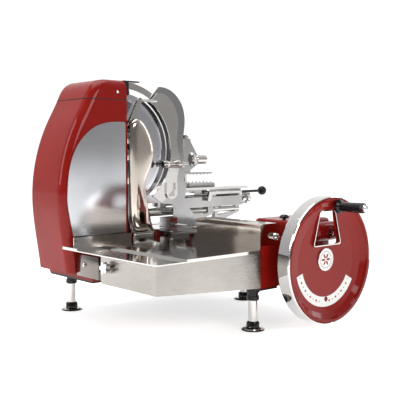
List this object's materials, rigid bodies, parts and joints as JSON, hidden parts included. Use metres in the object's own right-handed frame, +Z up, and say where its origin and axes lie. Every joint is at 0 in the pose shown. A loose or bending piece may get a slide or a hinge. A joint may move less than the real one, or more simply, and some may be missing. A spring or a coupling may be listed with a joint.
{
  "type": "flywheel meat slicer",
  "caption": "Hand-driven meat slicer: flywheel with grip, round upright blade in a bulging red casing, sliding meat carriage, thickness gauge and slice tray on levelling feet.",
  "frame": {"origin": "on the floor under the middle of the whole machine's box, carriage at its right end stop", "axes": "+X to the operator's right along the carriage's travel, +Y away from the operator along the flywheel and blade axes, +Z up"},
  "size_m": [0.9096, 0.922, 0.709],
  "materials": {
    "red_paint": "gloss enamel",
    "polished_steel": "mirror polished stainless",
    "brushed_steel": "satin brushed stainless",
    "cast_aluminium": "polished casting",
    "black_plastic": "gloss black",
    "black_paint": "black",
    "white_enamel": "white enamel",
    "machined_steel": "machined",
    "bearing_steel": "ground",
    "grinding_stone": "matt abrasive"
  },
  "bodies": {
    "base": {"base_casting": "red_paint", "base_plate": "black_paint", "deck_plate": "polished_steel", "arm_cover": "polished_steel", "wheel_housing": "red_paint", "ball_bearings": "bearing_steel", "base_chain": "machined_steel", "carriage_chain": "machined_steel", "blade_chain": "machined_steel", "blade_column": "polished_steel", "hub_cover": "polished_steel", "blade_guard": "polished_steel", "casing_shell": "red_paint", "front_panel": "polished_steel", "sharpener_cover": "black_paint", "blade_fender": "polished_steel", "grinding_stones": "grinding_stone", "carriage_rails": "polished_steel", "rail_brackets": "cast_aluminium", "tray_box": "brushed_steel", "foot_sockets": "black_plastic", "foot_tubes": "polished_steel", "foot_pads": "polished_steel"},
    "flywheel": {"flywheel": "red_paint", "flywheel_rim": "polished_steel", "wheel_badge": "white_enamel", "flywheel_shaft": "machined_steel", "drive_sprockets": "machined_steel", "handle_pin": "polished_steel"},
    "handle_grip": {"handle_grip": "black_plastic"},
    "idler": {"idler_sprocket": "machined_steel"},
    "layshaft": {"layshaft": "machined_steel", "layshaft_small_sprocket": "machined_steel", "layshaft_large_sprocket": "machined_steel"},
    "blade": {"blade": "polished_steel", "blade_shaft": "machined_steel", "blade_sprocket": "machined_steel"},
    "guard_handle": {"guard_handle": "polished_steel"},
    "gauge": {"gauge_plate": "polished_steel", "gauge_support": "polished_steel"},
    "thickness_screw": {"thickness_screw": "polished_steel"},
    "casing_cap": {"casing_cap": "red_paint"},
    "sharpener_lever": {"sharpener_arm": "red_paint", "sharpener_rod": "polished_steel"},
    "carriage": {"carriage_frame": "cast_aluminium", "carriage_bushes": "machined_steel", "carriage_driver": "machined_steel", "meat_table": "polished_steel", "screw_bearings": "cast_aluminium"},
    "carriage_lock": {"carriage_lock_knob": "polished_steel"},
    "feed_screw": {"feed_screw": "machined_steel"},
    "feed_slide": {"feed_slide": "cast_aluminium", "press_post": "polished_steel"},
    "press_head": {"press_head": "cast_aluminium"},
    "press_knob": {"press_knob": "polished_steel"},
    "feed_lever": {"feed_lever": "polished_steel", "lever_knob": "black_plastic"},
    "lock_knob": {"lock_knob": "black_plastic"},
    "tray": {"tray": "polished_steel"},
    "tray_knob": {"tray_knob": "polished_steel"}
  },
  "joints": [
    {"name": "flywheel_spin", "type": "hinge", "parent": "base", "child": "flywheel", "pos_m": [0.12375, -0.363, 0.192], "axis": [0, 1, 0], "continuous": true},
    {"name": "grip_spin", "type": "hinge", "parent": "flywheel", "child": "handle_grip", "pos_m": [0.14775, -0.363, 0.342], "axis": [0, 1, 0], "continuous": true},
    {"name": "layshaft_spin", "type": "hinge", "parent": "base", "child": "layshaft", "pos_m": [-0.12575, -0.363, 0.165], "axis": [0, 1, 0], "continuous": true},
    {"name": "idler_spin", "type": "hinge", "parent": "base", "child": "idler", "pos_m": [-0.01375, -0.363, 0.192], "axis": [0, 1, 0], "continuous": true},
    {"name": "blade_spin", "type": "hinge", "parent": "base", "child": "blade", "pos_m": [-0.19775, -0.363, 0.499], "axis": [0, 1, 0], "continuous": true},
    {"name": "carriage_travel", "type": "slide", "parent": "base", "child": "carriage", "axis": [1, 0, 0], "range_m": [-0.215, 0]},
    {"name": "carriage_lock_turn", "type": "hinge", "parent": "carriage", "child": "carriage_lock", "pos_m": [0.35225, 0.23, 0.329], "axis": [1, 0, 0], "range_deg": [0, 360]},
    {"name": "feed_travel", "type": "slide", "parent": "carriage", "child": "feed_slide", "axis": [0, 1, 0], "range_m": [-0.03, 0.1]},
    {"name": "feed_screw_turn", "type": "hinge", "parent": "carriage", "child": "feed_screw", "pos_m": [0.21425, -0.363, 0.353], "axis": [0, 1, 0], "range_deg": [-3610, 1090]},
    {"name": "press_height", "type": "slide", "parent": "feed_slide", "child": "press_head", "axis": [0, 0, 1], "range_m": [-0.014, 0.07]},
    {"name": "press_knob_turn", "type": "hinge", "parent": "press_head", "child": "press_knob", "pos_m": [0.18625, 0.297, 0.468], "axis": [1, 0, 0], "range_deg": [0, 360]},
    {"name": "feed_lever_swing", "type": "hinge", "parent": "carriage", "child": "feed_lever", "pos_m": [0.17625, 0.23, 0.332], "axis": [0, 1, 0], "range_deg": [-35, 0]},
    {"name": "gauge_travel", "type": "slide", "parent": "base", "child": "gauge", "axis": [0, -1, 0], "range_m": [0, 0.015]},
    {"name": "thickness_turn", "type": "hinge", "parent": "base", "child": "thickness_screw", "pos_m": [-0.02675, -0.363, 0.264], "axis": [0, 1, 0], "range_deg": [0, 301]},
    {"name": "cap_lift", "type": "slide", "parent": "base", "child": "casing_cap", "axis": [0, 0, 1], "range_m": [0, 0.12]},
    {"name": "sharpener_swing", "type": "hinge", "parent": "base", "child": "sharpener_lever", "pos_m": [-0.18775, 0.172, 0.572], "axis": [0, 1, 0], "range_deg": [-6, 10]},
    {"name": "guard_handle_turn", "type": "hinge", "parent": "base", "child": "guard_handle", "pos_m": [-0.06675, 0.158, 0.456], "axis": [1, 0, 0], "range_deg": [0, 360]},
    {"name": "lock_pull", "type": "slide", "parent": "base", "child": "lock_knob", "axis": [0, 0, 1], "range_m": [0, 0.008], "stiffness_N_per_m": 250},
    {"name": "tray_slide", "type": "slide", "parent": "base", "child": "tray", "axis": [0, -1, 0], "range_m": [0, 0.2]},
    {"name": "tray_knob_turn", "type": "hinge", "parent": "base", "child": "tray_knob", "pos_m": [-0.43475, -0.084, 0.197], "axis": [1, 0, 0], "range_deg": [-360, 0]}
  ],
  "couplings": [
    {"joint": "layshaft_spin", "follows": "flywheel_spin", "ratio": 2},
    {"joint": "idler_spin", "follows": "flywheel_spin", "ratio": 1},
    {"joint": "blade_spin", "follows": "flywheel_spin", "ratio": 3.25},
    {"joint": "feed_screw_turn", "follows": "feed_travel", "rad_per_m": -628.32},
    {"joint": "thickness_turn", "follows": "gauge_travel", "rad_per_m": 349.07}
  ]
}
